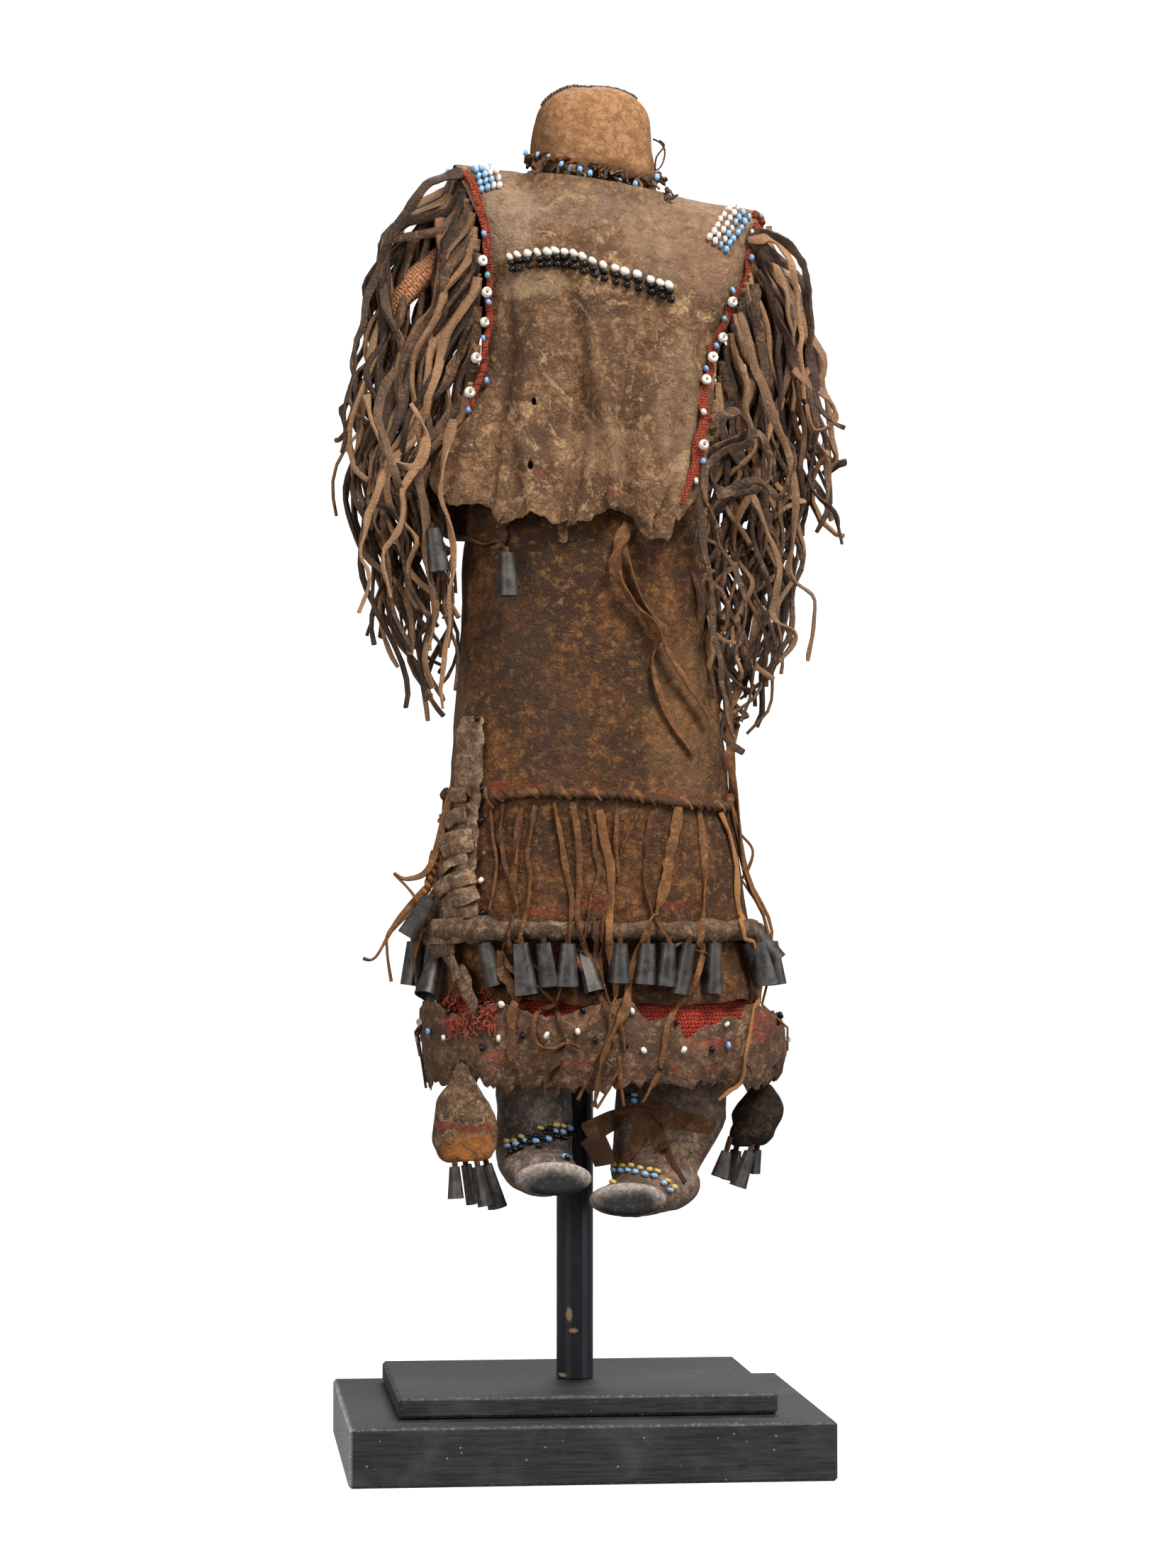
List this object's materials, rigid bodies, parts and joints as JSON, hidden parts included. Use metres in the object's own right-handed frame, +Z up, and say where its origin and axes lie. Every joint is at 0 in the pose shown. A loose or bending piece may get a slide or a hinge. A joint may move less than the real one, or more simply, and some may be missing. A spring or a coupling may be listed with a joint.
{
  "type": "hide doll",
  "caption": "Faceless stuffed hide doll in a fringed, beaded cape and two-tier skirt with tin cones, held up by a rod on a stepped black base.",
  "frame": {"origin": "middle of the base's underside, on the surface that it stands on", "axes": "+Z up, the doll looks along -Y, and its left arm is towards +X"},
  "size_m": [0.139, 0.102, 0.3733],
  "materials": {
    "black_wood": "satin black paint",
    "black_steel": "satin black paint",
    "tan_hide": "suede",
    "pouch_hide": "soiled suede",
    "cape_hide": "smoked and worn",
    "skirt_hide": "dark and scuffed",
    "strip_hide": "twisted strips",
    "boot_hide": "dark and worn",
    "red_cloth": "coarse wool",
    "knit_cloth": "knitted",
    "bead_glass": "opaque glass beads",
    "tin": "dark tarnished tin"
  },
  "bodies": {
    "root": {"ankle_tie": "strip_hide", "arm_left": "knit_cloth", "arm_right": "knit_cloth", "base_block": "black_wood", "base_plinth": "black_wood", "boot_beads_left": "bead_glass", "boot_beads_right": "bead_glass", "boot_left": "boot_hide", "boot_right": "boot_hide", "cape": "cape_hide", "cape_trim_left": "red_cloth", "cape_trim_right": "red_cloth", "chest_beads": "bead_glass", "cone_hem": "tin", "cone_pouch_left_1": "tin", "cone_pouch_left_2": "tin", "cone_pouch_left_3": "tin", "cone_pouch_left_4": "tin", "cone_pouch_right_1": "tin", "cone_pouch_right_2": "tin", "cone_pouch_right_3": "tin", "cone_pouch_right_4": "tin", "cone_skirt_1": "tin", "cone_skirt_10": "tin", "cone_skirt_11": "tin", "cone_skirt_12": "tin", "cone_skirt_13": "tin", "cone_skirt_2": "tin", "cone_skirt_3": "tin", "cone_skirt_4": "tin", "cone_skirt_5": "tin", "cone_skirt_6": "tin", "cone_skirt_7": "tin", "cone_skirt_8": "tin", "cone_skirt_9": "tin", "fringe_left": "strip_hide", "fringe_right": "strip_hide", "hem_thong_long": "strip_hide", "hem_thong_short": "strip_hide", "necklace": "bead_glass", "pouch_left": "pouch_hide", "pouch_right": "pouch_hide", "red_cloth_band": "red_cloth", "shoulder_beads_left": "bead_glass", "shoulder_beads_right": "bead_glass", "skirt": "skirt_hide", "skirt_side_flap": "skirt_hide", "skirt_welt_lower": "skirt_hide", "skirt_welt_upper": "strip_hide", "stuffed_body": "tan_hide", "support_rod": "black_steel", "toe_sole_left": "boot_hide", "toe_sole_right": "boot_hide", "underskirt": "skirt_hide"}
  },
  "joints": []
}
